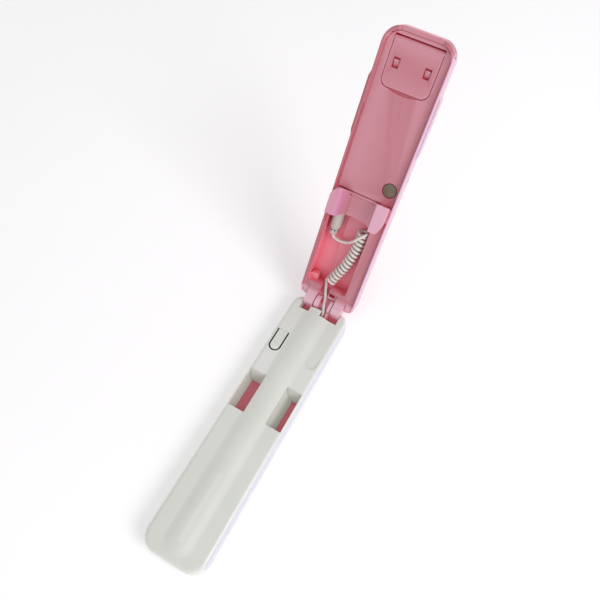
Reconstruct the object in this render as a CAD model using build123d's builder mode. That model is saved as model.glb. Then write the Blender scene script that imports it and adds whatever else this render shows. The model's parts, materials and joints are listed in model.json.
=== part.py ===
from build123d import *
import os
from math import cos, radians, sin

# A folding selfie stick, in millimetres. The handle lies on its flat back with its face up, and the
# phone holder is folded up from the hinge at its end. The origin is the centre of the handle's back.
# Each half is drawn in a frame of its own: the origin is on the hinge axis, X runs across the width,
# Y along the half and Z out of its face. Both faces lie just below Z = 0, the plane where they meet.

# Driving dimensions
WIDTH = 36.0
THICK = 11.0            # of each half
HANDLE_LENGTH = 162.0
HOLDER_LENGTH = 156.0
FOLD_ANGLE = 60.0       # how far the holder is folded up at rest
FACE_GAP = 0.2          # from each face to the plane where the halves meet
WALL = 1.5
CORNER_R = 9.0          # outline corners at the free ends
FLOOR_Z = -9.5          # inner floor of the handle, and of the holder under its panel
ROD_Z = -4.5            # depth of the rod's axis
RIDGE_HALF = 6.8        # half width of the ridge beside the pockets
RIDGE_FOOT = 8.4        # where its flanks run out on the shelves
RIDGE_FLANK = (5.0, 0.72)     # a point of each flank: across and up
RIDGE_TOP = 1.45
PANEL_Z = -1.8          # the holder's ledges, sunk inside its rim
PANEL_TOP = -2.4        # its panel, which the jaw slides over
RIM_IN = 16.0           # inner face of the rim
NOTCH_IN, NOTCH_OUT, NOTCH_Y = 6.0, 12.4, -8.7
YOKE_HALF = 5.4
YOKE_R = 4.35
KNUCKLE_R = 4.5
HINGE_PIN_R = 1.0
SIDE_PIN_R = 0.9
WIRE_R = 0.85
COIL_R = 3.5

HALF = WIDTH / 2
FACE_Z = -FACE_GAP
HINGE_Y = HANDLE_LENGTH / 2

HANDLE = Plane(origin=(0, HINGE_Y, THICK), x_dir=(1, 0, 0), z_dir=(0, 0, 1))
HOLDER = Plane(
    origin=(0, HINGE_Y, THICK),
    x_dir=(1, 0, 0),
    z_dir=(0, -sin(radians(FOLD_ANGLE)), cos(radians(FOLD_ANGLE))),
)
HANDLE_UP = Axis(HANDLE.origin, HANDLE.z_dir)
HOLDER_UP = Axis(HOLDER.origin, HOLDER.z_dir)


def spot(frame, x, y, z):
    """A point of a half's frame, in the object's frame."""
    return frame.from_local_coords(Vector(x, y, z))


def level(frame, z):
    """A plane parallel to a half's face: its x is across and its y is along."""
    return frame.offset(z)


def slice_at(frame, y):
    """A plane across a half: its x is across and its y is up. It extrudes towards lower y."""
    return Plane(origin=spot(frame, 0, y, 0), x_dir=frame.x_dir, z_dir=-frame.y_dir)


def side_at(frame, x):
    """A plane along a half: its x is along and its y is up. It extrudes towards higher x."""
    return Plane(origin=spot(frame, x, 0, 0), x_dir=frame.y_dir, z_dir=frame.x_dir)


def finish(part, name):
    """Label a finished piece and write its file."""
    part.label = name
    export_step(part, "parts/" + name + ".step")


def screw_set(frame, head_z, places, shank_r, length):
    """Countersunk screws driven upwards from a back face, as separate solids of one node."""
    with BuildPart() as screws:
        with BuildSketch(level(frame, head_z)):
            with Locations(*places):
                Circle(shank_r + 0.8)
        extrude(amount=0.8, taper=45)
        with BuildSketch(level(frame, head_z)):
            with Locations(*places):
                Circle(shank_r)
        extrude(amount=length)
        with BuildSketch(level(frame, head_z)):
            with Locations(*places):
                Rectangle(1.7, 0.4)
                Rectangle(0.4, 1.7)
        extrude(amount=0.45, mode=Mode.SUBTRACT)
    return screws.part


def cross_pin(frame, radius, x0, x1, y, z):
    """A plain pin across the object."""
    with BuildPart() as pin:
        with BuildSketch(side_at(frame, x0)):
            with Locations((y, z)):
                Circle(radius)
        extrude(amount=x1 - x0)
        chamfer(pin.edges().filter_by(GeomType.CIRCLE), length=0.15)
    return pin.part


os.makedirs("parts", exist_ok=True)

# ---------------------------------------------------------------------------------------------
# Handle: white front shell, open at the back
SHELL_Z = -10.7         # the walls stop just above the cover's back
SIDE_R = 2.6
POCKET_Y0, POCKET_Y1, RAMP_Y = -80.6, -56.0, -60.4
SLIT = 0.95
BUTTON_X, BUTTON_HALF, BUTTON_ROOT, BUTTON_TIP = -12.4, 2.8, -26.8, -40.2
PAD_X, PAD_HALF, PAD_ROOT, PAD_TIP = 11.8, 3.4, -26.8, -41.0
PAD_SINK = 0.6          # depth of the finger rest at its rounded end
RIDGE_FRONT, RIDGE_END = -5.2, -159.6
CHANNEL_R, CHANNEL_Y0, CHANNEL_Y1 = 5.0, -155.7, -4.0
END_WALL = -10.2
LEAD_GAP_X = 1.2
COVER_SCREWS = [(-14.0, -14.0), (14.0, -14.0), (-12.6, -96), (12.6, -96), (-12.6, -148), (12.6, -148)]
COVER_SCREW_R = 1.0
KEEPER = (12.0, -87.0)
BOARD_SCREWS = [(-12.4, -22.6), (-12.4, -47.6)]
BOARD_Z = -4.4
DOME_Y = RIDGE_END + RIDGE_FOOT


def pocket(straight, top, bend, foot):
    """The space of one pocket. One wall is straight, the other curves from top through bend to its foot
    on the floor, and the end by the hinge is a ramp."""
    with BuildPart() as space:
        with BuildSketch(slice_at(HANDLE, POCKET_Y1 + 1)):
            with BuildLine():
                Polyline(top, (top[0], 0.8), (straight, 0.8), (straight, -THICK), (foot[0], -THICK), foot)
                ThreePointArc(foot, bend, top)
            make_face()
        extrude(amount=POCKET_Y1 + 1 - POCKET_Y0)
        with BuildSketch(side_at(HANDLE, -HALF)):
            with BuildLine():
                Polyline(
                    (POCKET_Y0, 0.8),
                    (POCKET_Y1, 0.8),
                    (POCKET_Y1, FACE_Z),
                    (RAMP_Y, -THICK),
                    (POCKET_Y0, -THICK),
                    close=True,
                )
            make_face()
        extrude(amount=WIDTH, mode=Mode.INTERSECT)
    return space.part


pockets = [
    pocket(-7.0, (-17.0, -5.2), (-16.3, -7.8), (-14.4, FLOOR_Z)),
    pocket(16.2, (RIDGE_HALF, FACE_Z), (8.7, -6.6), (12.0, FLOOR_Z)),
]

with BuildPart() as front_shell:
    # Outer body with rounded edges
    with BuildSketch(level(HANDLE, SHELL_Z)) as outline:
        with Locations((0, (-HANDLE_LENGTH - 0.3) / 2)):
            Rectangle(WIDTH, HANDLE_LENGTH - 0.3)
        fillet(outline.vertices().group_by(Axis.Y)[0], radius=CORNER_R)
        fillet(outline.vertices().group_by(Axis.Y)[-1], radius=6.0)
    extrude(amount=FACE_Z - SHELL_Z)
    fillet(front_shell.edges().group_by(HANDLE_UP)[-1], radius=SIDE_R)
    fillet(front_shell.edges().group_by(HANDLE_UP)[0], radius=1.6)
    # Ridge over the rod: a low hump whose flanks run out on the shelves, with a domed end
    flank_x, flank_z = RIDGE_FLANK
    with BuildSketch(slice_at(HANDLE, RIDGE_FRONT)):
        with BuildLine():
            Spline((-RIDGE_FOOT, FACE_Z), (-flank_x, flank_z), (0, RIDGE_TOP), tangents=((1, 0.08), (1, 0)))
            Spline((0, RIDGE_TOP), (flank_x, flank_z), (RIDGE_FOOT, FACE_Z), tangents=((1, 0), (1, -0.08)))
            Polyline(
                (RIDGE_FOOT, FACE_Z),
                (RIDGE_FOOT, FACE_Z - 1),
                (-RIDGE_FOOT, FACE_Z - 1),
                (-RIDGE_FOOT, FACE_Z),
            )
        make_face()
    extrude(amount=RIDGE_FRONT - DOME_Y)
    with BuildSketch(slice_at(HANDLE, DOME_Y)):
        with BuildLine():
            Spline((0, RIDGE_TOP), (flank_x, flank_z), (RIDGE_FOOT, FACE_Z), tangents=((1, 0), (1, -0.08)))
            Polyline((RIDGE_FOOT, FACE_Z), (RIDGE_FOOT, FACE_Z - 1), (0, FACE_Z - 1), (0, RIDGE_TOP))
        make_face()
    revolve(axis=Axis(spot(HANDLE, 0, DOME_Y, 0), -HANDLE.z_dir), revolution_arc=180)
    # Inside: the cavity for the works, and the channel that the thickest tube lies in
    with BuildSketch(level(HANDLE, -THICK - 1)) as cavity:
        with Locations((0, (-HANDLE_LENGTH + WALL + END_WALL) / 2)):
            Rectangle(WIDTH - 2 * WALL, HANDLE_LENGTH - WALL + END_WALL)
        fillet(cavity.vertices().group_by(Axis.Y)[0], radius=CORNER_R - WALL)
    extrude(amount=THICK + 1 + FACE_Z - WALL, mode=Mode.SUBTRACT)
    with BuildSketch(slice_at(HANDLE, CHANNEL_Y1)):
        with Locations((0, ROD_Z)):
            Circle(CHANNEL_R)
    extrude(amount=CHANNEL_Y1 - CHANNEL_Y0, mode=Mode.SUBTRACT)
    # Material round the pockets, then the pockets themselves
    for side, foot, knee in ((-1, 5.4, 5.4), (1, 10.4, 7.3)):
        with BuildSketch(slice_at(HANDLE, POCKET_Y1 + 1.6)):
            with BuildLine():
                Polyline(
                    (side * 5.4, -1.2),
                    (side * (HALF - 0.6), -1.2),
                    (side * (HALF - 0.6), FLOOR_Z + 0.1),
                    (side * foot, FLOOR_Z + 0.1),
                    (side * knee, -6.2),
                    close=True,
                )
            make_face()
        extrude(amount=POCKET_Y1 + 1.6 - (POCKET_Y0 - 1.3))
    for space in pockets:
        add(space, mode=Mode.SUBTRACT)
    # The hinge end: notches for the holder's knuckles, with a gap for the lead beside the right one,
    # then the way out for the yoke and a seat for the cover
    with BuildSketch(level(HANDLE, -THICK - 1)):
        with Locations((0, NOTCH_Y / 2 + 1)):
            Rectangle(2 * NOTCH_OUT, -NOTCH_Y + 2)
        with Locations((0, -13)):
            Rectangle(2 * YOKE_HALF + 1, 10)
    extrude(amount=THICK + 1 - 0.6, mode=Mode.SUBTRACT)
    with BuildSketch(level(HANDLE, -1)):
        with Locations(*[(side * (NOTCH_IN + NOTCH_OUT) / 2, NOTCH_Y / 2 + 1) for side in (-1, 1)]):
            Rectangle(NOTCH_OUT - NOTCH_IN, -NOTCH_Y + 2)
        with Locations((0, RIDGE_FRONT / 2 + 2)):
            Rectangle(2 * NOTCH_OUT, -RIDGE_FRONT + 4)
        with Locations(((LEAD_GAP_X + NOTCH_IN) / 2, NOTCH_Y / 2 + 1)):
            Rectangle(NOTCH_IN - LEAD_GAP_X, -NOTCH_Y + 2)
    extrude(amount=4, mode=Mode.SUBTRACT)
    with BuildSketch(level(HANDLE, -THICK - 1)):
        with Locations((0, END_WALL / 2)):
            Rectangle(2 * NOTCH_OUT, -END_WALL + 1)
    extrude(amount=THICK + 1 + FLOOR_Z, mode=Mode.SUBTRACT)
    # Window for the button, and a finger rest on the other shelf that sinks towards its rounded end
    with BuildSketch(level(HANDLE, -2.5)):
        with Locations((BUTTON_X, (BUTTON_ROOT + BUTTON_TIP + BUTTON_HALF) / 2)):
            Rectangle(2 * (BUTTON_HALF + SLIT), BUTTON_ROOT - BUTTON_TIP - BUTTON_HALF)
        with Locations((BUTTON_X, BUTTON_TIP + BUTTON_HALF)):
            Circle(BUTTON_HALF + SLIT)
    extrude(amount=4, mode=Mode.SUBTRACT)
    slope = Plane(
        origin=spot(HANDLE, PAD_X, PAD_ROOT, FACE_Z + 0.05),
        x_dir=(1, 0, 0),
        z_dir=(0, -PAD_SINK - 0.05, PAD_ROOT - PAD_TIP),
    )
    with BuildSketch(slope):
        with Locations((0, (PAD_TIP + PAD_HALF - PAD_ROOT) / 2)):
            Rectangle(2 * PAD_HALF, PAD_ROOT - PAD_TIP - PAD_HALF)
        with Locations((0, PAD_TIP + PAD_HALF - PAD_ROOT)):
            Circle(PAD_HALF)
    extrude(amount=2, mode=Mode.SUBTRACT)
    # Bosses for the screws of the cover and the board
    with BuildSketch(level(HANDLE, FLOOR_Z + 0.05)):
        with Locations(*COVER_SCREWS):
            Circle(2.0)
    extrude(amount=-FLOOR_Z - 1.0)
    with BuildSketch(level(HANDLE, BOARD_Z)):
        with Locations(*BOARD_SCREWS):
            Circle(1.5)
    extrude(amount=-BOARD_Z - 1.0)
    with BuildSketch(level(HANDLE, -THICK)):
        with Locations(*COVER_SCREWS):
            Circle(COVER_SCREW_R + 0.05)
        with Locations(*BOARD_SCREWS):
            Circle(0.65)
    extrude(amount=8.4, mode=Mode.SUBTRACT)
finish(front_shell.part, "front_shell")

# Pink back cover, let into the shell
COVER_HALF = HALF - WALL - 0.1
with BuildPart() as back_cover:
    with BuildSketch(level(HANDLE, -THICK)) as plate:
        with Locations((0, (-HANDLE_LENGTH + WALL + END_WALL) / 2)):
            Rectangle(2 * COVER_HALF, HANDLE_LENGTH - WALL + END_WALL - 0.2)
        fillet(plate.vertices().group_by(Axis.Y)[0], radius=CORNER_R - WALL)
        with Locations((0, (END_WALL - 0.6) / 2 - 2)):
            Rectangle(2 * NOTCH_OUT - 0.2, -END_WALL - 0.6 + 4)
    extrude(amount=THICK + FLOOR_Z - 0.05)
    chamfer(back_cover.edges().group_by(HANDLE_UP)[0], length=0.3)
    with BuildSketch(level(HANDLE, -THICK)):
        with Locations(*COVER_SCREWS):
            Circle(COVER_SCREW_R + 0.95)
    extrude(amount=0.9, taper=45, mode=Mode.SUBTRACT)
    with BuildSketch(level(HANDLE, -THICK)):
        with Locations(*COVER_SCREWS):
            Circle(COVER_SCREW_R + 0.15)
    extrude(amount=3, mode=Mode.SUBTRACT)
finish(back_cover.part, "back_cover")
finish(screw_set(HANDLE, -THICK + 0.05, COVER_SCREWS, COVER_SCREW_R, 7.0), "cover_screws")

# Shutter button: a tongue with a boss over the switch, marked with a plain ring
SWITCH_Y = -36.0
with BuildPart() as shutter_button:
    with BuildSketch(level(HANDLE, FACE_Z - WALL)):
        with Locations((BUTTON_X, (BUTTON_ROOT - 0.08 + BUTTON_TIP + BUTTON_HALF) / 2)):
            Rectangle(2 * BUTTON_HALF, BUTTON_ROOT - 0.08 - BUTTON_TIP - BUTTON_HALF)
        with Locations((BUTTON_X, BUTTON_TIP + BUTTON_HALF)):
            Circle(BUTTON_HALF)
    extrude(amount=WALL)
    with BuildSketch(level(HANDLE, -2.25)):
        with Locations((BUTTON_X, SWITCH_Y)):
            Circle(1.2)
    extrude(amount=0.6)
    with BuildSketch(level(HANDLE, FACE_Z)):
        with Locations((BUTTON_X, SWITCH_Y)):
            Circle(1.15)
            Circle(0.8, mode=Mode.SUBTRACT)
    extrude(amount=0.12)
finish(shutter_button.part, "shutter_button")

# Board, switch and chips under the button
with BuildPart() as button_board:
    with BuildSketch(level(HANDLE, BOARD_Z - 1.0)) as board:
        with Locations((-11.6, -35.1)):
            Rectangle(8.6, 29.6)
        fillet(board.vertices(), radius=0.8)
        with Locations(*BOARD_SCREWS):
            Circle(0.75, mode=Mode.SUBTRACT)
    extrude(amount=1.0)
finish(button_board.part, "button_board")

with BuildPart() as tact_switch:
    with BuildSketch(level(HANDLE, BOARD_Z)) as body:
        with Locations((BUTTON_X, SWITCH_Y)):
            Rectangle(4.2, 4.2)
    extrude(amount=1.2)
    with BuildSketch(level(HANDLE, BOARD_Z + 1.2)):
        with Locations((BUTTON_X, SWITCH_Y)):
            Circle(0.9)
    extrude(amount=0.4)
finish(tact_switch.part, "tact_switch")

with BuildPart() as board_chips:
    with BuildSketch(level(HANDLE, BOARD_Z)):
        with Locations((-14.2, -30.0), (-10.4, -30.0), (-12.4, -43.2)):
            Rectangle(1.0, 2.0)
    extrude(amount=0.6)
finish(board_chips.part, "board_chips")
finish(screw_set(HANDLE, BOARD_Z - 1.9, BOARD_SCREWS, 0.6, 3.6), "board_screws")

# Steel keeper under the shelf, which the holder's magnet pulls to when folded
with BuildPart() as keeper_plate:
    with BuildSketch(level(HANDLE, FACE_Z - WALL - 0.8)):
        with Locations(KEEPER):
            Circle(4.0)
    extrude(amount=0.8)
finish(keeper_plate.part, "keeper_plate")

# ---------------------------------------------------------------------------------------------
# Rod: five steel tubes, each inside the last. Every tube but the thinnest has its end rolled in, and
# every tube that moves has a bush at its lower end, which meets that lip when the tube is right out.
TUBE_WALL = 0.3
TUBE_STEP = 0.7
TUBE_COUNT = 5
LIP = 2.0
BUSH_LENGTH = 8.0
ROD_TOP, ROD_BOTTOM = -17.5, -154.8
YOKE_BASE = -16.0
SOCKET_Y = -9.5
YOKE_PIN_Y, YOKE_PIN_R = -12.4, 0.6
tube_r = [4.8 - TUBE_STEP * i for i in range(TUBE_COUNT)]

for i, outer in enumerate(tube_r):
    bottom = ROD_BOTTOM + (0 if i == 0 else 0.8 + i)
    top = SOCKET_Y if i == TUBE_COUNT - 1 else ROD_TOP + 0.3 * i
    inner = outer - TUBE_WALL
    with BuildPart() as tube:
        with BuildSketch(slice_at(HANDLE, top)):
            with Locations((0, ROD_Z)):
                Circle(outer)
                Circle(inner, mode=Mode.SUBTRACT)
        extrude(amount=top - bottom)
        if i < TUBE_COUNT - 1:
            with BuildSketch(slice_at(HANDLE, top)):
                with Locations((0, ROD_Z)):
                    Circle(inner + 0.05)
                    Circle(tube_r[i + 1] + 0.06, mode=Mode.SUBTRACT)
            extrude(amount=LIP)
        else:
            with BuildSketch(side_at(HANDLE, -outer - 1)):
                with Locations((YOKE_PIN_Y, ROD_Z)):
                    Circle(YOKE_PIN_R + 0.01)
            extrude(amount=2 * outer + 2, mode=Mode.SUBTRACT)
    finish(tube.part, "rod_tube_" + str(i + 1))
    if i > 0:
        with BuildPart() as bush:
            with BuildSketch(slice_at(HANDLE, bottom + BUSH_LENGTH)):
                with Locations((0, ROD_Z)):
                    Circle(tube_r[i - 1] - TUBE_WALL - 0.04)
                    Circle(outer + 0.01, mode=Mode.SUBTRACT)
            extrude(amount=BUSH_LENGTH)
        finish(bush.part, "rod_bush_" + str(i + 1))

with BuildPart() as rod_end_plug:
    with BuildSketch(slice_at(HANDLE, ROD_BOTTOM + 0.6)):
        with Locations((0, ROD_Z)):
            Circle(tube_r[0] - TUBE_WALL - 0.01)
            Circle(WIRE_R + 0.3, mode=Mode.SUBTRACT)
    extrude(amount=0.6)
    with BuildSketch(slice_at(HANDLE, ROD_BOTTOM)):
        with Locations((0, ROD_Z)):
            Circle(tube_r[0])
            Circle(WIRE_R + 0.3, mode=Mode.SUBTRACT)
    extrude(amount=0.8)
finish(rod_end_plug.part, "rod_end_plug")

for name, y in (("rod_front_clamp", -26.0), ("rod_rear_clamp", -146.0)):
    with BuildPart() as clamp:
        with BuildSketch(slice_at(HANDLE, y)):
            with Locations((0, (FLOOR_Z + ROD_Z) / 2)):
                Rectangle(10.6, ROD_Z - FLOOR_Z - 0.1)
            with Locations((0, ROD_Z)):
                Circle(tube_r[0] + 0.03, mode=Mode.SUBTRACT)
        extrude(amount=7.0)
    finish(clamp.part, name)

# ---------------------------------------------------------------------------------------------
# Hinge: the yoke on the thinnest tube, its pins and the washers beside it
SLOT_X0, SLOT_X1 = -2.3, 3.6
LEAD_HOLE = [(2.2, -5.9, -1.1), (0.3, -10.0, -4.6)]
with BuildPart() as hinge_yoke:
    with BuildSketch(side_at(HANDLE, -YOKE_HALF)):
        with BuildLine():
            Polyline(
                (YOKE_BASE, -0.9),
                (YOKE_BASE, -8.4),
                (-2.5, -8.4),
                (3.55, -2.6),
                (0.0, 0.0),
                (-4.3, -0.9),
                close=True,
            )
        make_face()
        Circle(YOKE_R)
    extrude(amount=2 * YOKE_HALF)
    with BuildSketch(side_at(HANDLE, SLOT_X0)):
        with BuildLine():
            Polyline(
                (5.0, 5.0),
                (5.0, 1.3),
                (-1.2, 1.3),
                (-3.2, -0.7),
                (-5.0, -2.4),
                (-7.4, -2.6),
                (-7.4, 5.0),
                close=True,
            )
        make_face()
    extrude(amount=SLOT_X1 - SLOT_X0, mode=Mode.SUBTRACT)
    with BuildSketch(side_at(HANDLE, -YOKE_HALF - 1)):
        Circle(HINGE_PIN_R + 0.01)
        with Locations((YOKE_PIN_Y, ROD_Z)):
            Circle(YOKE_PIN_R + 0.01)
    extrude(amount=2 * YOKE_HALF + 2, mode=Mode.SUBTRACT)
    with BuildSketch(slice_at(HANDLE, SOCKET_Y)):
        with Locations((0, ROD_Z)):
            Circle(tube_r[-1] + 0.01)
    extrude(amount=SOCKET_Y - YOKE_BASE, mode=Mode.SUBTRACT)
    hole_start, hole_end = [spot(HANDLE, *p) for p in LEAD_HOLE]
    with BuildSketch(Plane(origin=hole_start, z_dir=hole_end - hole_start)):
        Circle(WIRE_R + 0.6)
    extrude(amount=(hole_end - hole_start).length, mode=Mode.SUBTRACT)
finish(hinge_yoke.part, "hinge_yoke")
bore_r = tube_r[-1] - TUBE_WALL
with BuildPart() as yoke_pins:
    for x in (-YOKE_HALF + 0.1, bore_r + 0.05):
        with BuildSketch(side_at(HANDLE, x)):
            with Locations((YOKE_PIN_Y, ROD_Z)):
                Circle(YOKE_PIN_R)
        extrude(amount=YOKE_HALF - 0.1 - bore_r - 0.05)
finish(yoke_pins.part, "yoke_pins")
finish(cross_pin(HANDLE, HINGE_PIN_R, -NOTCH_OUT + 0.8, NOTCH_OUT - 0.8, 0, 0), "hinge_pin")

with BuildPart() as hinge_washers:
    for x in (-NOTCH_IN + 0.04, YOKE_HALF + 0.04):
        with BuildSketch(side_at(HANDLE, x)):
            Circle(2.6)
            Circle(HINGE_PIN_R + 0.03, mode=Mode.SUBTRACT)
        extrude(amount=NOTCH_IN - YOKE_HALF - 0.08)
finish(hinge_washers.part, "hinge_washers")

# ---------------------------------------------------------------------------------------------
# Holder: pink tray with its knuckles, open towards its face
TRAY_END = 5.2          # the body's end between the lobes
ROOM_Y0 = 10.4          # near wall of the lead's compartment
ROOM_X0, ROOM_X1 = -15.6, 10.0
STEP_X, STEP_Z = -5.4, -8.9     # the compartment is deeper on the plug's side of this step
GUTTER_Z = -10.0
PANEL_Y0, PANEL_Y1 = 72.6, 153.8
PANEL_THICK = 1.9
PANEL_UNDER = PANEL_TOP - PANEL_THICK
SEAT_HALF = 14.4        # the panel rests on ledges outside this
RECESS_HALF, RECESS_Y0, RECESS_Y1 = 12.7, 128.0, 152.1
FLAP_PIN = (150.0, -3.65)
PANEL_PIN = (88.4, -6.3)
TRACK_END = 118.0
GROOVE_Z0, GROOVE_Z1, GROOVE_X = -1.76, -0.74, 16.85

with BuildPart() as holder_tray:
    with BuildSketch(level(HOLDER, -THICK)) as outline:
        with Locations((0, (HOLDER_LENGTH + 0.4) / 2)):
            Rectangle(WIDTH, HOLDER_LENGTH - 0.4)
        fillet(outline.vertices().group_by(Axis.Y)[0], radius=5.0)
        fillet(outline.vertices().group_by(Axis.Y)[-1], radius=CORNER_R)
    extrude(amount=THICK + FACE_Z)
    fillet(holder_tray.edges().group_by(HOLDER_UP)[-1], radius=1.4)
    fillet(holder_tray.edges().group_by(HOLDER_UP)[0], radius=3.0)
    # Low grip pads on the sides
    with BuildSketch(level(HOLDER, -8.0)):
        for side in (-1, 1):
            with BuildLine():
                Polyline(
                    (side * (HALF - 1), 133.5),
                    (side * (HALF - 0.05), 133.5),
                    (side * (HALF + 0.7), 130.5),
                    (side * (HALF + 0.7), 103.5),
                    (side * (HALF - 0.05), 100.5),
                    (side * (HALF - 1), 100.5),
                    close=True,
                )
            make_face()
    extrude(amount=6.6)
    # Sunk level for the panel and the ledges, open at the far end to pass the handle's ridge
    with BuildSketch(level(HOLDER, PANEL_Z)) as sunk:
        with Locations((0, (PANEL_Y1 + 0.1) / 2)):
            Rectangle(2 * RIM_IN, PANEL_Y1 + 0.1)
        fillet(sunk.vertices().group_by(Axis.Y)[-1], radius=CORNER_R - 2)
        with Locations((0, HOLDER_LENGTH - 4)):
            Rectangle(22.0, 10.0)
    extrude(amount=FACE_Z - PANEL_Z, taper=-30, mode=Mode.SUBTRACT)
    with BuildSketch(level(HOLDER, PANEL_UNDER)) as seat:
        with Locations((0, (PANEL_Y0 + PANEL_Y1) / 2)):
            Rectangle(2 * RIM_IN, PANEL_Y1 - PANEL_Y0 + 0.2)
        fillet(seat.vertices().group_by(Axis.Y)[-1], radius=CORNER_R - 2)
    extrude(amount=-PANEL_UNDER, mode=Mode.SUBTRACT)
    # Hollow under the panel, and the compartment with its deeper channel for the plug
    with BuildSketch(level(HOLDER, FLOOR_Z)) as hollow:
        with Locations((0, (PANEL_Y0 + RECESS_Y1) / 2)):
            Rectangle(2 * SEAT_HALF, RECESS_Y1 - PANEL_Y0)
    extrude(amount=-FLOOR_Z + 1, mode=Mode.SUBTRACT)
    with BuildSketch(level(HOLDER, STEP_Z)) as room:
        with Locations(((ROOM_X0 + ROOM_X1) / 2, (ROOM_Y0 + PANEL_Y0) / 2)):
            Rectangle(ROOM_X1 - ROOM_X0, PANEL_Y0 - ROOM_Y0)
        fillet(room.vertices().group_by(Axis.Y)[0], radius=2.0)
    extrude(amount=-STEP_Z + 1, mode=Mode.SUBTRACT)
    with BuildSketch(level(HOLDER, GUTTER_Z)) as channel:
        with Locations(((ROOM_X0 + STEP_X) / 2, (ROOM_Y0 + PANEL_Y0) / 2)):
            Rectangle(STEP_X - ROOM_X0, PANEL_Y0 - ROOM_Y0)
        fillet(channel.vertices().group_by(Axis.Y)[0], radius=2.0)
    extrude(amount=-GUTTER_Z + 1, mode=Mode.SUBTRACT)
    # Grooves in the rim that hold the jaw's tongues
    with BuildSketch(level(HOLDER, GROOVE_Z0)):
        with Locations((0, (50.0 + TRACK_END) / 2)):
            Rectangle(2 * GROOVE_X, TRACK_END - 50.0)
    extrude(amount=GROOVE_Z1 - GROOVE_Z0, mode=Mode.SUBTRACT)
    # Clear the hinge end between the lobes, with a lip that closes in on the yoke, then the knuckles
    # with their arms
    with BuildSketch(level(HOLDER, -THICK - 1)):
        with Locations((0, TRAY_END / 2 - 1)):
            Rectangle(2 * NOTCH_OUT, TRAY_END + 2)
    extrude(amount=THICK + 3, mode=Mode.SUBTRACT)
    with BuildSketch(side_at(HOLDER, -NOTCH_IN)):
        with BuildLine():
            Polyline((3.0, PANEL_Z), (6.0, PANEL_Z), (6.0, -9.0), (3.9, -6.6), (2.6, -3.9), close=True)
        make_face()
        Circle(YOKE_R + 0.25, mode=Mode.SUBTRACT)
    extrude(amount=2 * NOTCH_IN)
    for x in (-NOTCH_OUT + 0.4, NOTCH_IN):
        with BuildSketch(side_at(HOLDER, x)):
            Circle(KNUCKLE_R)
            with BuildLine():
                Polyline(
                    (1.6, 4.2),
                    (8.6, PANEL_Z + 0.02),
                    (8.6, -8.6),
                    (5.0, -8.6),
                    (-1.2, -4.33),
                    (0, 0),
                    close=True,
                )
            make_face()
        extrude(amount=NOTCH_OUT - NOTCH_IN - 0.4)
    with BuildSketch(side_at(HOLDER, -NOTCH_OUT)):
        Circle(HINGE_PIN_R + 0.05)
    extrude(amount=2 * NOTCH_OUT, mode=Mode.SUBTRACT)
    # Way for the lead over the end block, a relief beside it, and the boss in the compartment's corner
    with BuildSketch(side_at(HOLDER, -5.6)):
        with BuildLine():
            Polyline((3.0, -2.4), (3.0, 1.0), (12.0, 1.0), (12.0, -7.2), (8.1, -4.8), close=True)
        make_face()
    extrude(amount=5.6, mode=Mode.SUBTRACT)
    with BuildSketch(level(HOLDER, -6.5)):
        with Locations((2.2, 6.5)):
            Rectangle(3.6, 2.4)
    extrude(amount=7, mode=Mode.SUBTRACT)
    with BuildSketch(level(HOLDER, GUTTER_Z - 0.1)) as boss:
        with Locations((-13.1, 11.9)):
            Rectangle(5.8, 5.2)
        fillet(boss.vertices().group_by(Axis.Y)[-1], radius=2.2)
    extrude(amount=-5.0 - GUTTER_Z + 0.1)
    # Holes for the two side pins
    with BuildSketch(side_at(HOLDER, -HALF - 1)):
        with Locations(FLAP_PIN, PANEL_PIN):
            Circle(SIDE_PIN_R + 0.02)
    extrude(amount=WIDTH + 2, mode=Mode.SUBTRACT)
finish(holder_tray.part, "holder_tray")
for name, place in (("flap_pin", FLAP_PIN), ("panel_pin", PANEL_PIN)):
    finish(cross_pin(HOLDER, SIDE_PIN_R, -HALF + 0.25, HALF - 0.25, *place), name)

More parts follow.
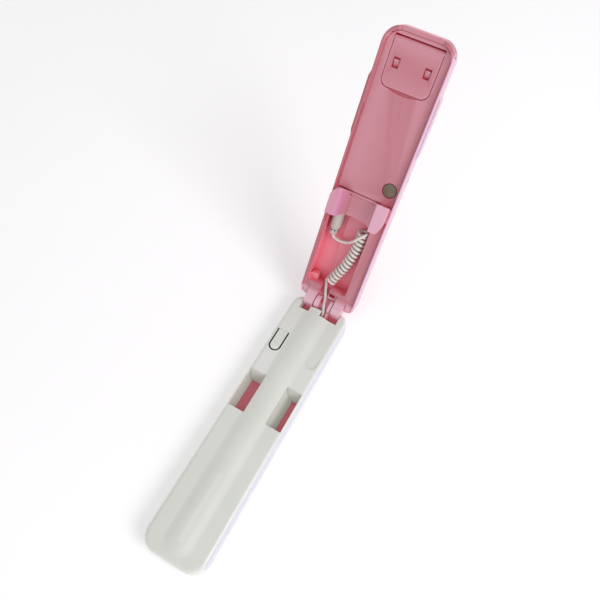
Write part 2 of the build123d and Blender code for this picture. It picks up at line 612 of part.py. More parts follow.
# Panel: pocket for the magnet, and recess for the flap with the posts in its slots
MAGNET = (11.6, 80.9)
MAGNET_R = 3.8
MAGNET_Z0 = -4.0
SLOT_X, SLOT_Y, SLOT_W, SLOT_L = 8.0, 139.9, 3.4, 4.9
with BuildPart() as holder_panel:
    with BuildSketch(level(HOLDER, PANEL_UNDER)) as plate:
        with Locations((0, (PANEL_Y0 + 0.1 + PANEL_Y1 - 0.1) / 2)):
            Rectangle(2 * RIM_IN - 0.2, PANEL_Y1 - PANEL_Y0 - 0.2)
        fillet(plate.vertices().group_by(Axis.Y)[-1], radius=CORNER_R - 2)
    extrude(amount=PANEL_THICK)
    with BuildSketch(level(HOLDER, MAGNET_Z0)):
        with Locations(MAGNET):
            Circle(MAGNET_R + 0.3)
    extrude(amount=4, mode=Mode.SUBTRACT)
    # Recess, with a deeper trough under the flap's barrel and a crescent for a fingertip
    with BuildSketch(level(HOLDER, -8)) as recess:
        with Locations((0, (RECESS_Y0 + RECESS_Y1) / 2)):
            Rectangle(2 * RECESS_HALF, RECESS_Y1 - RECESS_Y0)
        fillet(recess.vertices().group_by(Axis.Y)[0], radius=4.2)
    extrude(amount=8, mode=Mode.SUBTRACT)
    with BuildSketch(level(HOLDER, PANEL_TOP - 0.9)):
        with BuildLine():
            Line((8.5, RECESS_Y0 + 0.2), (-8.5, RECESS_Y0 + 0.2))
            ThreePointArc((-8.5, RECESS_Y0 + 0.2), (0, RECESS_Y0 - 1.3), (8.5, RECESS_Y0 + 0.2))
        make_face()
    extrude(amount=3, mode=Mode.SUBTRACT)
    with BuildSketch(side_at(HOLDER, -SEAT_HALF + 0.2)):
        with BuildLine():
            Polyline(
                (RECESS_Y0 - 2, PANEL_UNDER),
                (RECESS_Y0 - 0.3, PANEL_UNDER),
                (RECESS_Y0 - 0.3, -4.6),
                (147.4, -4.6),
                (147.4, -5.9),
                (RECESS_Y1 - 0.2, -5.9),
                (RECESS_Y1 - 0.2, -6.8),
                (146.4, -6.8),
                (146.4, -5.5),
                (RECESS_Y0 - 2, -5.5),
                close=True,
            )
        make_face()
    extrude(amount=2 * SEAT_HALF - 0.4)
    for side in (-1, 1):
        with BuildSketch(side_at(HOLDER, side * (RECESS_HALF + SEAT_HALF) / 2 - 0.75)):
            with Locations(((147.4 + RECESS_Y1 - 0.2) / 2, -5.2)):
                Rectangle(RECESS_Y1 - 0.2 - 147.4, 2.0)
        extrude(amount=1.5)
        with BuildSketch(side_at(HOLDER, side * SLOT_X - SLOT_W / 2 + 0.4)):
            with BuildLine():
                Polyline(
                    (SLOT_Y - SLOT_L / 2 + 0.6, -4.7),
                    (SLOT_Y - SLOT_L / 2 + 0.6, -3.9),
                    (SLOT_Y + SLOT_L / 2 - 1.0, -2.6),
                    (SLOT_Y + SLOT_L / 2 - 1.0, -4.7),
                    close=True,
                )
            make_face()
        extrude(amount=SLOT_W - 0.8)
    with BuildSketch(side_at(HOLDER, -HALF)):
        with Locations(FLAP_PIN):
            Circle(SIDE_PIN_R + 0.05)
    extrude(amount=WIDTH, mode=Mode.SUBTRACT)
finish(holder_panel.part, "holder_panel")

with BuildPart() as magnet:
    with BuildSketch(level(HOLDER, MAGNET_Z0 + 0.01)):
        with Locations(MAGNET):
            Circle(MAGNET_R)
    extrude(amount=PANEL_TOP - 0.1 - MAGNET_Z0)
    chamfer(magnet.edges().group_by(HOLDER_UP)[-1], length=0.2)
finish(magnet.part, "magnet")

# Flap: lies flush in its recess, and turns up about its pin
FLAP_HALF, FLAP_Y0, BARREL_R = 12.4, 128.4, 1.4
with BuildPart() as flap:
    with BuildSketch(level(HOLDER, PANEL_UNDER)) as body:
        with Locations((0, (FLAP_Y0 + FLAP_PIN[0]) / 2)):
            Rectangle(2 * FLAP_HALF, FLAP_PIN[0] - FLAP_Y0)
        fillet(body.vertices().group_by(Axis.Y)[0], radius=4.0)
        with Locations((-SLOT_X, SLOT_Y), (SLOT_X, SLOT_Y)):
            Rectangle(SLOT_W, SLOT_L, mode=Mode.SUBTRACT)
    extrude(amount=PANEL_THICK)
    with BuildSketch(side_at(HOLDER, -FLAP_HALF)):
        with Locations(FLAP_PIN):
            Circle(BARREL_R)
    extrude(amount=2 * FLAP_HALF)
    with BuildSketch(side_at(HOLDER, -FLAP_HALF)):
        with Locations(FLAP_PIN):
            Circle(SIDE_PIN_R + 0.05)
    extrude(amount=2 * FLAP_HALF, mode=Mode.SUBTRACT)
finish(flap.part, "flap")

# Jaw: a plate over the panel that rises into an ear at each side, with tongues in the rim's grooves
JAW_Y0, JAW_Y1 = 58.1, 72.4
JAW_UNDER = -2.3
EAR_TOP = 5.0
EAR_UNDER = PANEL_Z + 0.3
with BuildPart() as jaw:
    with BuildSketch(slice_at(HOLDER, JAW_Y1 + 3)):
        with BuildLine():
            Polyline(
                (-6.0, PANEL_Z + 0.02),
                (5.6, PANEL_Z + 0.02),
                (7.4, -0.85),
                (8.7, -0.5),
                (9.4, EAR_TOP),
                (15.7, EAR_TOP),
                (15.7, EAR_UNDER),
                (7.0, EAR_UNDER),
                (6.6, JAW_UNDER),
                (-6.6, JAW_UNDER),
                (-7.0, EAR_UNDER),
                (-15.7, EAR_UNDER),
                (-15.7, 0.1),
                (-16.7, 0.1),
                (-16.7, EAR_TOP),
                (-12.6, EAR_TOP),
            )
            Spline(
                (-12.6, EAR_TOP),
                (-9.6, 1.6),
                (-6.0, PANEL_Z + 0.02),
                tangents=((1, -0.4), (1, -0.15)),
            )
        make_face()
    extrude(amount=JAW_Y1 + 3 - JAW_Y0 + 4)
    # The clamping edge leans out over the panel and the other edge follows the ramp of the pockets
    with BuildSketch(side_at(HOLDER, -HALF)):
        with BuildLine():
            Polyline(
                (JAW_Y0 - 1.6, -3.0),
                (JAW_Y1, -3.0),
                (JAW_Y1, EAR_UNDER - 0.1),
                (JAW_Y1 + 2.2, EAR_TOP),
                (JAW_Y0, EAR_TOP),
                close=True,
            )
        make_face()
    extrude(amount=WIDTH, mode=Mode.INTERSECT)
    # The edge between the ears is hollowed, the outer corners are rounded, and a fine line is let into
    # the face behind the clamping edge
    with BuildSketch(level(HOLDER, -4)):
        with BuildLine():
            Polyline((-10.6, JAW_Y0 - 3), (-10.6, JAW_Y0 - 0.4))
            ThreePointArc((-10.6, JAW_Y0 - 0.4), (-1.0, JAW_Y0 + 1.0), (8.8, JAW_Y0 - 0.4))
            Polyline((8.8, JAW_Y0 - 0.4), (8.8, JAW_Y0 - 3), (-10.6, JAW_Y0 - 3))
        make_face()
    extrude(amount=10, mode=Mode.SUBTRACT)
    with BuildSketch(level(HOLDER, -4)):
        with BuildLine():
            Polyline((16.5, JAW_Y0 + 5.5), (15.7, JAW_Y0 + 5.5))
            ThreePointArc((15.7, JAW_Y0 + 5.5), (14.2, JAW_Y0 + 0.9), (10.6, JAW_Y0 - 2))
            Polyline((10.6, JAW_Y0 - 2), (16.5, JAW_Y0 - 2), (16.5, JAW_Y0 + 5.5))
        make_face()
        with BuildLine():
            Polyline((-17.5, JAW_Y1 - 5.2), (-16.8, JAW_Y1 - 5.2))
            ThreePointArc((-16.8, JAW_Y1 - 5.2), (-15.3, JAW_Y1 - 0.4), (-10.6, JAW_Y1 + 2.3))
            Polyline((-10.6, JAW_Y1 + 2.3), (-10.6, JAW_Y1 + 4), (-17.5, JAW_Y1 + 4), (-17.5, JAW_Y1 - 5.2))
        make_face()
    extrude(amount=10, mode=Mode.SUBTRACT)
    with BuildSketch(level(HOLDER, PANEL_Z - 0.2)):
        with Locations((0, JAW_Y1 - 1.7)):
            Rectangle(18.0, 0.45)
    extrude(amount=1, mode=Mode.SUBTRACT)
    for side in (-1, 1):
        with BuildSketch(level(HOLDER, GROOVE_Z0 + 0.1)):
            with Locations((side * 16.0, (JAW_Y0 + 6 + JAW_Y1 - 0.4) / 2)):
                Rectangle(1.6, JAW_Y1 - JAW_Y0 - 6.4)
        extrude(amount=GROOVE_Z1 - GROOVE_Z0 - 0.2)
finish(jaw.part, "jaw")

# ---------------------------------------------------------------------------------------------
# Plug, stored in the compartment with its contacts under the panel
PLUG_X, PLUG_Z = -10.8, -6.3
PLUG_Y0, PLUG_Y1 = 47.4, 66.0
RELIEF_Y = 43.0
RELIEF_HALF = 2.4
with BuildPart() as plug_body:
    with BuildSketch(slice_at(HOLDER, PLUG_Y1)):
        with Locations((PLUG_X, PLUG_Z)):
            Circle(3.15)
    extrude(amount=PLUG_Y1 - PLUG_Y0)
    chamfer(plug_body.edges().filter_by(GeomType.CIRCLE), length=0.35)
finish(plug_body.part, "plug_body")

with BuildPart() as plug_relief:
    with BuildSketch(slice_at(HOLDER, PLUG_Y0)) as wide:
        with Locations((PLUG_X, PLUG_Z)):
            Rectangle(2 * RELIEF_HALF, 4.0)
        fillet(wide.vertices(), radius=1.2)
    with BuildSketch(slice_at(HOLDER, RELIEF_Y)) as narrow:
        with Locations((PLUG_X, PLUG_Z)):
            Rectangle(2 * RELIEF_HALF - 0.7, 2.8)
        fillet(narrow.vertices(), radius=1.0)
    loft()
    with BuildSketch(level(HOLDER, PLUG_Z)):
        with Locations((PLUG_X - 1.0, 45.6), (PLUG_X + 1.0, 45.6)):
            Circle(0.5)
    extrude(amount=3, mode=Mode.SUBTRACT)
finish(plug_relief.part, "plug_relief")

# Sleeve, two rings and the tip, with an insulating ring between each pair
CONTACT_R = 1.75
CONTACTS = [(66.0, 71.8), (72.5, 74.0), (74.7, 76.2)]
TIP_Y0, TIP_Y1 = 76.9, 80.4
with BuildPart() as plug_contacts:
    for y0, y1 in CONTACTS:
        with BuildSketch(slice_at(HOLDER, y1)):
            with Locations((PLUG_X, PLUG_Z)):
                Circle(CONTACT_R)
        extrude(amount=y1 - y0)
    with BuildSketch(level(HOLDER, PLUG_Z)):
        with BuildLine():
            Polyline(
                (PLUG_X, TIP_Y0),
                (PLUG_X + CONTACT_R, TIP_Y0),
                (PLUG_X + CONTACT_R, TIP_Y0 + 0.4),
                (PLUG_X + 1.15, TIP_Y0 + 1.2),
                (PLUG_X + 1.6, TIP_Y0 + 2.2),
                (PLUG_X + 0.5, TIP_Y1),
                (PLUG_X, TIP_Y1),
                close=True,
            )
        make_face()
    revolve(axis=Axis(spot(HOLDER, PLUG_X, 0, PLUG_Z), HOLDER.y_dir), revolution_arc=360)
finish(plug_contacts.part, "plug_contacts")

with BuildPart() as plug_insulators:
    for y0 in (71.8, 74.0, 76.2):
        with BuildSketch(slice_at(HOLDER, y0 + 0.7)):
            with Locations((PLUG_X, PLUG_Z)):
                Circle(CONTACT_R - 0.05)
        extrude(amount=0.7)
finish(plug_insulators.part, "plug_insulators")


# ---------------------------------------------------------------------------------------------
# Cord: plain lead from the plug, the coil as one fat tube of its outer diameter, and the lead that
# crosses the hinge into the yoke
LEAD_ROUTE = [
    (PLUG_X, RELIEF_Y, PLUG_Z),
    (-10.4, 41.4, -6.3),
    (-8.7, 40.3, -6.3),
    (-5.4, 40.0, -6.4),
    (-0.6, 41.8, -6.3),
    (3.2, 46.2, -5.6),
]
COIL_ROUTE = [
    (6.2, 52.2, -5.3),
    (6.2, 45.6, -5.35),
    (5.6, 38.4, -5.35),
    (4.1, 31.0, -5.35),
    (1.5, 23.6, -5.35),
    (-1.0, 17.2, -5.35),
    (-2.7, 12.7, -5.3),
]
HINGE_ROUTE = [
    (-4.3, 10.2, 7.1),
    (-2.9, 6.9, 5.4),
    (-0.9, 2.9, 3.1),
    (0.35, -0.9, 2.65),
    (1.5, -3.8, 0.85),
    (2.4, -6.0, -1.3),
    (0.85, -8.35, -3.9),
    (0.2, -11.7, -4.65),
    (0.0, -15.2, -4.6),
]


def cord(frame, route, radius, name):
    """A tube along straight runs joined by tangent arcs. Prints its radii and checks its volume."""
    points = [spot(frame, *p) for p in route]
    runs = [b - a for a, b in zip(points, points[1:])]
    radii = []
    for before, after in zip(runs, runs[1:]):
        turn = radians(before.get_angle(after))
        radii.append(0.45 * min(before.length, after.length) / (sin(turn / 2) / cos(turn / 2)))
    with BuildPart() as tube:
        with BuildLine() as path:
            FilletPolyline(*points, radius=radii)
        length = path.wire().length
        with BuildSketch(Plane(origin=points[0], z_dir=runs[0])):
            Circle(radius)
        sweep()
    expected = 3.14159265 * radius * radius * length
    print(name, "length", round(length, 2), "radii", [round(r, 1) for r in radii],
          "volume / expected", round(tube.part.volume / expected, 4))
    finish(tube.part, name)


cord(HOLDER, LEAD_ROUTE, WIRE_R, "plug_lead")
cord(HOLDER, COIL_ROUTE, COIL_R, "curly_coil")
cord(HANDLE, HINGE_ROUTE, WIRE_R, "hinge_lead")
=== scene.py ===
"""Folding selfie stick: a pink phone holder folded up from a white handle, with a curly lead."""

import json
import math

import bpy
from mathutils import Matrix, Vector


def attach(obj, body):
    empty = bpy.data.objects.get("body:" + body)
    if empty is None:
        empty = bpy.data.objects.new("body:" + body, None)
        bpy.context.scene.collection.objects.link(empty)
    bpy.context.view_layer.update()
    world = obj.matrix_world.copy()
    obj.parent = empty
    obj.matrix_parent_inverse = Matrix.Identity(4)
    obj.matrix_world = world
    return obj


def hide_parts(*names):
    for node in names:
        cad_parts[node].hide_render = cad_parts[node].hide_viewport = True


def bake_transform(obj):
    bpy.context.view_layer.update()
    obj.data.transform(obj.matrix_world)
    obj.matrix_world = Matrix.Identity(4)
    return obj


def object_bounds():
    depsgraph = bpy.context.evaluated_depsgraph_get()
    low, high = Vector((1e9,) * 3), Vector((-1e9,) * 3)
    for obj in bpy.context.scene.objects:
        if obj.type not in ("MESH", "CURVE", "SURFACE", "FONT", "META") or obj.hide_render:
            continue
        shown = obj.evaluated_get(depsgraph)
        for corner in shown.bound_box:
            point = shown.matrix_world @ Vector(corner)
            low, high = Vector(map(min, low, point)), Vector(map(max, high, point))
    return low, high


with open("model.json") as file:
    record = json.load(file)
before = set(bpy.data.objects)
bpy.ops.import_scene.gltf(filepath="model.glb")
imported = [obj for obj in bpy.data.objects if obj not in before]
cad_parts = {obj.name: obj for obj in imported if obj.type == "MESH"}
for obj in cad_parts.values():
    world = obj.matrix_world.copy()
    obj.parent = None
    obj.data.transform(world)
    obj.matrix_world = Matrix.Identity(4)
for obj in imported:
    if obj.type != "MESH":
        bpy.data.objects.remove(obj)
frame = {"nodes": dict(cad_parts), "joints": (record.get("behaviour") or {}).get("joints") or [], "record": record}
cad_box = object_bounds()
nodes = frame["nodes"]
joints = {j["name"]: j for j in frame["joints"]}
scene = bpy.context.scene

MM = 0.001
RIGHT = Vector((1, 0, 0))
HINGE = Vector(joints["holder_fold"]["pos_m"])
ALONG = Vector(joints["jaw_slide"]["axis"]).normalized()
OUT = RIGHT.cross(ALONG)
OUT_OF_HANDLE = Vector((0, 0, 1))


def hand(x, y, z):
    """A point in the handle's frame, in mm from the hinge axis: across, along and out of its face."""
    return HINGE + Vector((x, y, z)) * MM


def hold(x, y, z):
    """The same in the holder's frame."""
    return HINGE + (RIGHT * x + ALONG * y + OUT * z) * MM


# ------------------------------------------------------------------------------------- camera
CAMERA_AT = hand(57.8, -146.1, 297.8)
LOOKING_AT = hand(-12.5, -7.7, 6.6)
ROLL = math.radians(2.65)
SENSOR_WIDTH, LENS = 36.0, 33.3

scene.view_settings.view_transform = "Standard"
camera_data = bpy.data.cameras.new("camera")
camera = bpy.data.objects.new("camera", camera_data)
scene.collection.objects.link(camera)
scene.camera = camera
camera_data.sensor_width = SENSOR_WIDTH
camera_data.lens = LENS
camera_data.clip_start = 0.01
facing = (LOOKING_AT - CAMERA_AT).to_track_quat("-Z", "Y").to_matrix().to_4x4()
camera.matrix_world = Matrix.Translation(CAMERA_AT) @ facing @ Matrix.Rotation(ROLL, 4, "Z")


# -------------------------------------------------------------------------------------- cords
WIRE = 1.7 * MM
COIL_TURNS = 15.5
TURN_POINTS = 14
COIL_RADIUS = 2.62 * MM
LEAD = [
    (-10.8, 43.6, -6.3),
    (-10.8, 42.6, -6.3),
    (-10.2, 41.5, -6.3),
    (-8.5, 40.5, -6.3),
    (-5.3, 40.0, -6.5),
    (-1.4, 41.0, -6.2),
    (1.6, 43.4, -4.4),
    (3.6, 46.4, -2.0),
    (5.4, 49.2, -1.2),
    (7.4, 51.3, -1.6),
    (8.8, 52.4, -3.4),
]
COIL = [
    (6.2, 52.2, -5.3),
    (6.2, 45.6, -5.35),
    (5.6, 38.4, -5.35),
    (4.1, 31.0, -5.35),
    (1.5, 23.6, -5.35),
    (-1.0, 17.2, -5.35),
    (-2.7, 12.7, -5.3),
]
CROSSING = [
    (-4.3, 10.2, 7.1),
    (-2.9, 6.9, 5.4),
    (-0.9, 2.9, 3.1),
    (0.35, -0.9, 2.65),
    (1.5, -3.8, 0.85),
    (2.4, -6.0, -1.3),
    (0.85, -8.35, -3.9),
    (0.2, -11.7, -4.65),
    (0.0, -15.2, -4.6),
]


def smooth_line(name, points, radius=0.0):
    """A NURBS curve object with these control points."""
    data = bpy.data.curves.new(name, "CURVE")
    data.dimensions = "3D"
    data.resolution_u = 8
    data.bevel_depth = 1.0 if radius else 0.0
    data.bevel_resolution = 5
    data.use_fill_caps = True
    spline = data.splines.new("NURBS")
    spline.points.add(len(points) - 1)
    for point, place in zip(spline.points, points):
        point.co = (*place, 1.0)
        point.radius = radius
    spline.order_u = 3
    spline.use_endpoint_u = True
    line = bpy.data.objects.new(name, data)
    scene.collection.objects.link(line)
    return line


def trace(points):
    """Points along the smooth line, close together."""
    line = smooth_line("trace", points)
    line.data.resolution_u = 24
    bpy.context.view_layer.update()
    mesh = bpy.data.meshes.new_from_object(line.evaluated_get(bpy.context.evaluated_depsgraph_get()))
    places = [v.co.copy() for v in mesh.vertices]
    bpy.data.objects.remove(line)
    bpy.data.meshes.remove(mesh)
    return places


def length_of(places):
    return sum((b - a).length for a, b in zip(places, places[1:]))


def coil_round(places):
    """A coil's turns about a traced line. It starts at the right of the line and ends at its left."""
    total = length_of(places)
    steps = round(COIL_TURNS * TURN_POINTS)
    marks = [0.0]
    for a, b in zip(places, places[1:]):
        marks.append(marks[-1] + (b - a).length)
    turns = []
    k = 0
    for i in range(steps + 1):
        want = total * i / steps
        while k < len(places) - 2 and marks[k + 1] < want:
            k += 1
        run = places[k + 1] - places[k]
        centre = places[k] + run * ((want - marks[k]) / (marks[k + 1] - marks[k]))
        ahead = run.normalized()
        up = (OUT - ahead * OUT.dot(ahead)).normalized()
        side = up.cross(ahead)
        if side.dot(RIGHT) < 0:
            side = -side
        angle = math.pi / 2 + 2 * math.pi * i / TURN_POINTS
        # No turn of a used coil is quite as wide as the next
        wobble = 1 + 0.025 * math.sin(i * 0.37) + 0.02 * math.sin(i * 0.113 + 1)
        turns.append(centre + (side * math.sin(angle) + up * math.cos(angle)) * COIL_RADIUS * wobble)
    return turns


coil_line = trace([hold(*p) for p in COIL])
cord_points = [hold(*p) for p in LEAD] + coil_round(coil_line) + [hand(*CROSSING[0])]
# The whole of the curly cord: the lead from the plug, the coil, and the coil's way out
curly_cord = smooth_line("curly_cord", cord_points, WIRE / 2)
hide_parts("curly_coil", "plug_lead")
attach(curly_cord, "holder")

# The lead over the hinge is a mesh, a tube along the line from the holder to the yoke
crossing_line = trace([hand(*p) for p in CROSSING])
tube_curve = smooth_line("tube", [hand(*p) for p in CROSSING], WIRE / 2)
tube_curve.data.resolution_u = 12
bpy.context.view_layer.update()
tube_mesh = bpy.data.meshes.new_from_object(tube_curve.evaluated_get(bpy.context.evaluated_depsgraph_get()))
bpy.data.objects.remove(tube_curve)
hinge_cord = bpy.data.objects.new("hinge_cord", tube_mesh)
scene.collection.objects.link(hinge_cord)
for polygon in tube_mesh.polygons:
    polygon.use_smooth = True
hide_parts("hinge_lead")
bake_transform(hinge_cord)

cord_length = length_of(trace(cord_points))


# ---------------------------------------------------------------------------------- materials
# Scales of the noise on moulded plastic, in cells to the metre
CLOUD_SCALE = 28.0
SMEAR_SCALE = 95.0
GRAIN_SCALE = 3800.0
GRAIN_DEPTH = 0.00004
# Below the first share of open sky a hollow takes all of its painted shade and bounce colour, above the second
# none of it
SHUT_IN, OPEN_AIR = 0.12, 0.58      # share of open sky where a crevice is darkest, and where it ends


def srgb(r, g, b):
    """A colour given as it looks on a screen, 0 to 255, in linear light."""
    parts = []
    for c in (r, g, b):
        c = c / 255
        parts.append(c / 12.92 if c <= 0.04045 else ((c + 0.055) / 1.055) ** 2.4)
    return (*parts, 1.0)


def new_material(name):
    material = bpy.data.materials.new(name)
    material.use_nodes = True
    shader = material.node_tree.nodes["Principled BSDF"]
    return material, material.node_tree, shader


def add_node(tree, kind, **values):
    node = tree.nodes.new(kind)
    for key, value in values.items():
        if key in node.inputs:
            node.inputs[key].default_value = value
        else:
            setattr(node, key, value)
    return node


def object_place(tree):
    return add_node(tree, "ShaderNodeTexCoord").outputs["Object"]


def noise(tree, place, scale, detail=3.0, rough=0.55):
    node = add_node(tree, "ShaderNodeTexNoise", Scale=scale, Detail=detail, Roughness=rough)
    tree.links.new(place, node.inputs["Vector"])
    return node.outputs["Fac"]


def ramp(tree, source, stops):
    """A colour ramp over source. stops are (position, colour)."""
    node = tree.nodes.new("ShaderNodeValToRGB")
    while len(node.color_ramp.elements) < len(stops):
        node.color_ramp.elements.new(0.5)
    for element, (at, colour) in zip(node.color_ramp.elements, stops):
        element.position = at
        element.color = colour
    tree.links.new(source, node.inputs["Fac"])
    return node.outputs["Color"]


def grey(level):
    return (level, level, level, 1.0)


def bumpy(tree, shader, source, strength, distance):
    node = add_node(tree, "ShaderNodeBump", Strength=strength, Distance=distance)
    tree.links.new(source, node.inputs["Height"])
    tree.links.new(node.outputs["Normal"], shader.inputs["Normal"])


def paint_hollow_shade_and_bounce(tree, colour, painted_hollow_colour, reach):
    """The colour, turning to the painted hollow colour where the surface is shut in: painted shade in the hollows,
    and in the pink painted bounced light.
    """
    shut_in = add_node(tree, "ShaderNodeAmbientOcclusion", Distance=reach, samples=6)
    closeness = ramp(tree, shut_in.outputs["AO"], [(SHUT_IN, grey(1.0)), (OPEN_AIR, grey(0.0))])
    return tint(tree, colour, painted_hollow_colour, closeness)


def tint(tree, colour, other, factor):
    """The colour, turning to other by factor."""
    mix = tree.nodes.new("ShaderNodeMix")
    mix.data_type = "RGBA"
    tree.links.new(factor, mix.inputs["Factor"])
    tree.links.new(colour, mix.inputs[6])
    mix.inputs[7].default_value = other
    return mix.outputs[2]


def from_here(tree, centre):
    """The vector from a fixed point of the object, in metres."""
    away = add_node(tree, "ShaderNodeVectorMath", operation="SUBTRACT")
    tree.links.new(object_place(tree), away.inputs[0])
    away.inputs[1].default_value = centre
    return away.outputs["Vector"]


def fade(tree, value, start, full):
    """0 where value is start, smoothly up to 1 where it is full."""
    span = add_node(tree, "ShaderNodeMapRange", interpolation_type="SMOOTHSTEP")
    tree.links.new(value, span.inputs["Value"])
    span.inputs["From Min"].default_value = start
    span.inputs["From Max"].default_value = full
    return span.outputs["Result"]


def past_plane(tree, centre, direction):
    """How far a point lies past the plane through centre, along direction."""
    dot = add_node(tree, "ShaderNodeVectorMath", operation="DOT_PRODUCT")
    tree.links.new(from_here(tree, centre), dot.inputs[0])
    dot.inputs[1].default_value = direction
    return dot.outputs["Value"]


def near_axis(tree, centre, near, far):
    """1 within near of the line across the object through centre, and 0 beyond far."""
    flat = add_node(tree, "ShaderNodeVectorMath", operation="MULTIPLY")
    tree.links.new(from_here(tree, centre), flat.inputs[0])
    flat.inputs[1].default_value = (0, 1, 1)
    reach = add_node(tree, "ShaderNodeVectorMath", operation="LENGTH")
    tree.links.new(flat.outputs["Vector"], reach.inputs[0])
    return fade(tree, reach.outputs["Value"], far, near)


def beyond(tree, centre, direction, start, full):
    """0 until start metres past centre along direction, and 1 from full on."""
    return fade(tree, past_plane(tree, centre, direction), start, full)


def within(tree, centre, direction, half):
    """1 within half of the plane through centre across direction, and 0 a little beyond."""
    size = add_node(tree, "ShaderNodeMath", operation="ABSOLUTE")
    tree.links.new(past_plane(tree, centre, direction), size.inputs[0])
    return fade(tree, size.outputs["Value"], half + 0.4 * MM, half)


def compartment(tree):
    """1 inside the lead's compartment, which is painted lighter against the shade in it, 0 on the rest of the
    tray.
    """
    inside = within(tree, hold(-2.8, 0, 0), RIGHT, 13.2 * MM)
    deep_enough = within(tree, hold(0, 0, -6.4), OUT, 3.9 * MM)
    past_hinge = beyond(tree, hold(0, 9, 0), ALONG, 0.0, 2 * MM)
    for bound in (deep_enough, past_hinge):
        both = add_node(tree, "ShaderNodeMath", operation="MULTIPLY")
        tree.links.new(inside, both.inputs[0])
        tree.links.new(bound, both.inputs[1])
        inside = both.outputs["Value"]
    return inside


def plastic(name, light, dark, worn, painted_hollow_colour, rough=(0.3, 0.42), coat=0.25, soft=0.0, reach=0.004, zones=()):
    """Moulded plastic: clouded colour, fine spark-eroded grain, edges worn paler, hollows painted with their shade
    and bounced light.

    Each zone is a function that gives how far a stretch of the surface takes a colour, and the colour; most zones
    paint light and shade onto parts of the surface, one gives the cover's back its own pink."""
    material, tree, shader = new_material(name)
    place = object_place(tree)
    cloud = noise(tree, place, CLOUD_SCALE, 2.0)
    colour = ramp(tree, cloud, [(0.3, dark), (0.7, light)])
    edge = tree.nodes.new("ShaderNodeNewGeometry").outputs["Pointiness"]
    rub = ramp(tree, edge, [(0.515, grey(0.0)), (0.6, grey(0.55))])
    for zone_share, pale in zones:
        colour = tint(tree, colour, pale, zone_share(tree))
    # Hollows painted with their own shade, and in the pink with bounced light
    colour = paint_hollow_shade_and_bounce(tree, tint(tree, colour, worn, rub), painted_hollow_colour, reach)
    tree.links.new(colour, shader.inputs["Base Color"])
    smear = noise(tree, place, SMEAR_SCALE, 4.0)
    tree.links.new(
        ramp(tree, smear, [(0.3, grey(rough[0])), (0.75, grey(rough[1]))]), shader.inputs["Roughness"]
    )
    grain = noise(tree, place, GRAIN_SCALE, 2.0)
    bumpy(tree, shader, grain, 0.1, GRAIN_DEPTH)
    shader.inputs["Coat Weight"].default_value = coat
    shader.inputs["Coat Roughness"].default_value = 0.22
    shader.inputs["IOR"].default_value = 1.5
    if soft:
        shader.inputs["Subsurface Weight"].default_value = soft
        shader.inputs["Subsurface Radius"].default_value = (0.004, 0.0015, 0.0015)
        shader.inputs["Subsurface Scale"].default_value = 0.6
    return material


def metal(name, light, dark, rough, along=(1, 1, 1), scratch=900.0):
    """Metal with a drawn or turned finish: streaks that are long in one direction."""
    material, tree, shader = new_material(name)
    stretch = add_node(tree, "ShaderNodeMapping")
    stretch.inputs["Scale"].default_value = along
    tree.links.new(object_place(tree), stretch.inputs["Vector"])
    streak = noise(tree, stretch.outputs["Vector"], scratch, 4.0)
    cloud = noise(tree, object_place(tree), 120.0, 3.0)
    tree.links.new(ramp(tree, cloud, [(0.3, dark), (0.7, light)]), shader.inputs["Base Color"])
    tree.links.new(
        ramp(tree, streak, [(0.3, grey(rough[0])), (0.7, grey(rough[1]))]), shader.inputs["Roughness"]
    )
    bumpy(tree, shader, streak, 0.12, 0.00003)
    shader.inputs["Metallic"].default_value = 1.0
    return material


def plain(name, light, dark, rough, scale=300.0, bump=0.15):
    """A dull solid: speckled colour and a fine bump."""
    material, tree, shader = new_material(name)
    place = object_place(tree)
    speck = noise(tree, place, scale, 4.0)
    tree.links.new(ramp(tree, speck, [(0.35, dark), (0.65, light)]), shader.inputs["Base Color"])
    tree.links.new(
        ramp(tree, speck, [(0.3, grey(rough[0])), (0.7, grey(rough[1]))]), shader.inputs["Roughness"]
    )
    bumpy(tree, shader, noise(tree, place, scale * 8, 2.0), bump, GRAIN_DEPTH)
    return material


PINK_LIGHT = srgb(188, 112, 121)
# Painted highlight on the round of the knuckles
KNUCKLE_HIGHLIGHT = srgb(240, 212, 226)
PINK = {
    "light": PINK_LIGHT,
    "dark": srgb(182, 104, 114),
    "worn": srgb(222, 160, 174),
    # Painted bounce light: the pink's hollows turn a brighter crimson
    "painted_hollow_colour": srgb(240, 96, 120),
    "rough": (0.34, 0.48),
    "soft": 0.1,
    "reach": 0.010,
}


def knuckle_highlight(tree):
    """1 on the round of the knuckles and the yoke, which is painted paler as a highlight."""
    return near_axis(tree, HINGE, 4.3 * MM, 7.5 * MM)


pink = plastic("pink", **PINK)
pink_tray = plastic(
    "pink_tray",
    **PINK,
    zones=[
        (knuckle_highlight, KNUCKLE_HIGHLIGHT),
        # Painted sheen: the tray's right side wall is painted pale lavender where light falls on it
        (lambda tree: beyond(tree, hold(16.3, 0, 0), RIGHT, 0.0, 1.2 * MM), srgb(212, 184, 204)),
        # Painted light: the compartment is painted a lighter pink against its shade
        (compartment, srgb(242, 138, 154)),
    ],
)
pink_hinge = plastic(
    "pink_hinge",
    **PINK,
    zones=[(knuckle_highlight, KNUCKLE_HIGHLIGHT)],
)
pink_jaw = plastic(
    "pink_jaw",
    **PINK,
    zones=[
        # Painted light: the left ear is painted paler magenta where light falls on it
        (lambda tree: beyond(tree, hold(-6, 0, 0), -RIGHT, 0.0, 6.0 * MM), srgb(206, 138, 168)),
        # Painted sheen: the right ear's outer slope is painted pale lavender
        (lambda tree: beyond(tree, hold(8.2, 0, 0), RIGHT, 0.0, 1.6 * MM), srgb(226, 184, 208)),
    ],
)
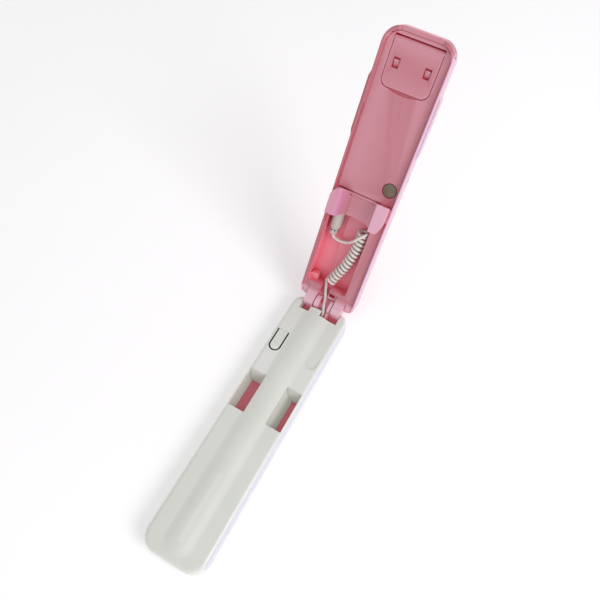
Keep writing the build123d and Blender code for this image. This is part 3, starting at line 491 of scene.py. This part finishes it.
# Painted bounce light: the cover is crimson where the pockets' pink light falls back on it, with painted shade in
# its hollows
pink_cover = plastic(
    "pink_cover",
    srgb(238, 78, 104),
    srgb(230, 70, 96),
    srgb(240, 150, 166),
    painted_hollow_colour=srgb(180, 44, 66),
    rough=(0.34, 0.48),
    soft=0.1,
    reach=0.0015,
    zones=[
        # Painted light: near the hinge the cover is painted paler against the notches' shade
        (lambda tree: near_axis(tree, HINGE, 13.0 * MM, 17.0 * MM), srgb(240, 158, 172)),
        (lambda tree: beyond(tree, hand(0, 0, -9.8), -OUT_OF_HANDLE, 0.0, 0.4 * MM), PINK_LIGHT),
    ],
)
# Painted shadow: the white plug is painted greyer for the jaw's shadow over it
plug_in_painted_shadow = plastic(
    "plug_in_painted_shadow",
    srgb(186, 174, 166),
    srgb(178, 166, 158),
    srgb(214, 206, 200),
    painted_hollow_colour=srgb(120, 112, 104),
    rough=(0.4, 0.55),
)
white = plastic(
    "white",
    srgb(228, 231, 223),
    srgb(222, 225, 216),
    srgb(240, 241, 238),
    # Painted shade in the white shell's hollows
    painted_hollow_colour=srgb(124, 122, 110),
    rough=(0.3, 0.42),
    soft=0.05,
    # Painted shade and reflection: the shell's right side is painted a darker lavender where the key light falls
    # on it
    zones=[(lambda tree: beyond(tree, hand(16.9, 0, 0), RIGHT, 0.0, 0.9 * MM), srgb(206, 204, 218))],
)
jacket = plastic(
    "jacket",
    srgb(220, 215, 208),
    srgb(212, 206, 198),
    srgb(236, 233, 228),
    # Painted shade in the cord's gaps, kept faint
    painted_hollow_colour=srgb(210, 212, 202),
    rough=(0.42, 0.55),
    coat=0.05,
    soft=0.1,
    reach=0.003,
)
steel = metal("steel", srgb(205, 205, 205), srgb(186, 186, 187), (0.14, 0.26), along=(1, 0.03, 1))
plated = metal("plated", srgb(222, 220, 214), srgb(204, 202, 196), (0.1, 0.2))
magnet_face = metal("magnet_face", srgb(150, 139, 120), srgb(118, 106, 90), (0.35, 0.6), scratch=260.0)
nylon = plain("nylon", srgb(228, 226, 216), srgb(218, 216, 205), (0.5, 0.65))
board_green = plain("board_green", srgb(38, 96, 56), srgb(30, 80, 46), (0.35, 0.5))
black = plain("black", srgb(40, 40, 42), srgb(28, 28, 30), (0.4, 0.6))

FINISH = {
    "white_plastic": white,
    "plug_plastic": plug_in_painted_shadow,
    "pink_plastic": pink,
    "steel": steel,
    "nylon": nylon,
    "board": board_green,
    "black_plastic": black,
    "magnet_plating": magnet_face,
    "plug_metal": plated,
    "cord_jacket": jacket,
}
OWN_FINISH = {
    "back_cover": pink_cover,
    "holder_tray": pink_tray,
    "hinge_yoke": pink_hinge,
    "jaw": pink_jaw,
}
for entry in frame["record"]["subparts"]:
    body = nodes[entry["node"]]
    body.data.materials.clear()
    body.data.materials.append(OWN_FINISH.get(entry["node"]) or FINISH[entry["material_slot"]])
for cord in (curly_cord, hinge_cord):
    cord.data.materials.append(jacket)

# ------------------------------------------------------------------------------ floor and light
FLOOR_REACH = 3.0
FLOOR_DROP = 0.0001         # the floor lies just under the object
FLOOR_GLOW = 0.2
floor_mesh = bpy.data.meshes.new("floor")
floor_mesh.from_pydata(
    [(FLOOR_REACH * x, FLOOR_REACH * y, 0) for x, y in ((-1, -1), (1, -1), (1, 1), (-1, 1))],
    [],
    [(0, 1, 2, 3)],
)
floor = bpy.data.objects.new("floor", floor_mesh)
floor.location.z = min(cad_box[0][2], 0.0) - FLOOR_DROP
scene.collection.objects.link(floor)
pale = plain("floor", srgb(252, 252, 252), srgb(250, 250, 250), (0.7, 0.8), 4.0, 0.02)
floor_shader = pale.node_tree.nodes["Principled BSDF"]
floor_shader.inputs["Emission Color"].default_value = (1.0, 1.0, 1.0, 1.0)
floor_shader.inputs["Emission Strength"].default_value = FLOOR_GLOW
floor.data.materials.append(pale)

HORIZON = (1.0, 0.965, 1.03, 1.0)
OVERHEAD = (0.5, 0.5, 0.49, 1.0)
SKY_STRENGTH = 1.02
world = bpy.data.worlds.new("studio")
world.use_nodes = True
scene.world = world
sky = world.node_tree
backdrop = sky.nodes["Background"]
split = sky.nodes.new("ShaderNodeSeparateXYZ")
sky.links.new(add_node(sky, "ShaderNodeTexCoord").outputs["Generated"], split.inputs["Vector"])
sky_colour = ramp(sky, split.outputs["Z"], [(0.1, HORIZON), (0.8, OVERHEAD)])
sky.links.new(sky_colour, backdrop.inputs["Color"])
backdrop.inputs["Strength"].default_value = SKY_STRENGTH

KEY_AT, KEY_AIM = hand(700, -150, 600), hand(0, 0, 30)
key_data = bpy.data.lights.new("key", "AREA")
key_data.shape = "DISK"
key_data.size = 0.5
key_data.energy = 3.4
key_data.color = (1.0, 0.98, 1.02)
key = bpy.data.objects.new("key", key_data)
scene.collection.objects.link(key)
key_facing = (KEY_AIM - KEY_AT).to_track_quat("-Z", "Y").to_matrix().to_4x4()
key.matrix_world = Matrix.Translation(KEY_AT) @ key_facing

bpy.context.view_layer.update()
